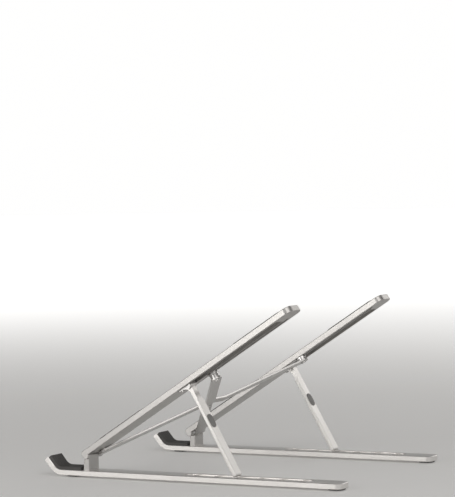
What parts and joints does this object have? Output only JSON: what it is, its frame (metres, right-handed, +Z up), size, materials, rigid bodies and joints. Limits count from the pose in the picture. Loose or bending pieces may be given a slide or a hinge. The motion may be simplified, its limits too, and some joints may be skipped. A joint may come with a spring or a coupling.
{
  "type": "folding laptop stand",
  "caption": "Folding scissor-linked desk stand that holds a laptop at a tilt, with hooked base rails, notched tilt struts and soft pads.",
  "frame": {"origin": "on the desk, below the middle of the stand as it stands open", "axes": "+Y away from the user, towards the rails' raised rear ends; +X to the user's right; +Z up"},
  "size_m": [0.18, 0.25, 0.1313],
  "materials": {
    "satin_aluminium": "bead-blasted and anodised, satin, with a slightly brighter broken edge",
    "brushed_bar": "stamped strip, fine lengthwise grain",
    "fastener_steel": "turned and tumbled, bright",
    "silicone": "moulded, matt dark grey",
    "grey_silicone": "moulded, matt mid grey",
    "nylon": "moulded, matt black"
  },
  "bodies": {
    "base_right": {"base_rail_right": "satin_aluminium", "hinge_post_right": "satin_aluminium", "post_screws_right": "fastener_steel", "hook_pad_right": "silicone", "front_foot_right": "silicone", "rear_foot_right": "silicone"},
    "upper_right": {"upper_rail_right": "satin_aluminium", "hinge_pin_right": "fastener_steel", "strut_bracket_right": "brushed_bar", "bracket_rivets_right": "fastener_steel", "strut_pin_right": "fastener_steel", "front_top_pad_right": "silicone", "rear_top_pad_right": "silicone", "front_rivet_right": "fastener_steel", "front_spacer_right": "fastener_steel"},
    "strut_right": {"strut_right": "satin_aluminium", "strut_bumper_right": "grey_silicone"},
    "bar_upper": {"crossbar_upper": "brushed_bar", "centre_rivet": "fastener_steel", "centre_washer": "nylon"},
    "bar_lower": {"crossbar_lower": "brushed_bar"},
    "slider_left": {"slider_shoe_left": "fastener_steel", "slider_rivet_left": "fastener_steel"},
    "slider_right": {"slider_shoe_right": "fastener_steel", "slider_rivet_right": "fastener_steel"},
    "upper_left": {"upper_rail_left": "satin_aluminium", "hinge_pin_left": "fastener_steel", "strut_bracket_left": "brushed_bar", "bracket_rivets_left": "fastener_steel", "strut_pin_left": "fastener_steel", "front_top_pad_left": "silicone", "rear_top_pad_left": "silicone", "front_rivet_left": "fastener_steel", "front_spacer_left": "fastener_steel"},
    "strut_left": {"strut_left": "satin_aluminium", "strut_bumper_left": "grey_silicone"},
    "base_left": {"base_rail_left": "satin_aluminium", "hinge_post_left": "satin_aluminium", "post_screws_left": "fastener_steel", "hook_pad_left": "silicone", "front_foot_left": "silicone", "rear_foot_left": "silicone"}
  },
  "joints": [
    {"name": "tilt", "type": "hinge", "parent": "base_right", "child": "upper_right", "pos_m": [0.0815, -0.088, 0.0165], "axis": [1, 0, 0], "range_deg": [-32.3, 6]},
    {"name": "strut_right_fold", "type": "hinge", "parent": "upper_right", "child": "strut_right", "pos_m": [0.08315, 0.00024, 0.07193], "axis": [1, 0, 0], "range_deg": [-17.41, 93.26]},
    {"name": "scissor", "type": "hinge", "parent": "upper_right", "child": "bar_upper", "pos_m": [0.073, -0.08191, 0.02035], "axis": [0, 0.5344, -0.8453], "range_deg": [0, 48.94]},
    {"name": "centre_pivot", "type": "hinge", "parent": "bar_upper", "child": "bar_lower", "pos_m": [0, -0.0339, 0.0507], "axis": [0, 0.5344, -0.8453], "range_deg": [-97.98, 0.1]},
    {"name": "left_rail_pivot", "type": "hinge", "parent": "bar_lower", "child": "upper_left", "pos_m": [-0.073, -0.08191, 0.02035], "axis": [0, 0.5344, -0.8453], "range_deg": [-0.1, 49.04]},
    {"name": "slider_left_pivot", "type": "hinge", "parent": "bar_upper", "child": "slider_left", "pos_m": [-0.073, 0.01412, 0.08106], "axis": [0, 0.5344, -0.8453], "range_deg": [-49.04, 0.1]},
    {"name": "slider_right_pivot", "type": "hinge", "parent": "bar_lower", "child": "slider_right", "pos_m": [0.073, 0.01412, 0.08106], "axis": [0, 0.5344, -0.8453], "range_deg": [-0.1, 49.04]},
    {"name": "left_base_hinge", "type": "hinge", "parent": "upper_left", "child": "base_left", "pos_m": [-0.0815, -0.088, 0.0165], "axis": [1, 0, 0], "range_deg": [-6.1, 32.4]},
    {"name": "strut_left_fold", "type": "hinge", "parent": "upper_left", "child": "strut_left", "pos_m": [-0.08315, 0.00024, 0.07193], "axis": [1, 0, 0], "range_deg": [-17.41, 93.26]}
  ],
  "couplings": [
    {"joint": "strut_right_fold", "follows": "tilt", "ratio": -2.8842},
    {"joint": "strut_left_fold", "follows": "tilt", "ratio": -2.8842},
    {"joint": "left_base_hinge", "follows": "tilt", "ratio": -1},
    {"joint": "centre_pivot", "follows": "scissor", "ratio": -2},
    {"joint": "left_rail_pivot", "follows": "scissor", "ratio": 1},
    {"joint": "slider_left_pivot", "follows": "scissor", "ratio": -1},
    {"joint": "slider_right_pivot", "follows": "scissor", "ratio": 1}
  ]
}
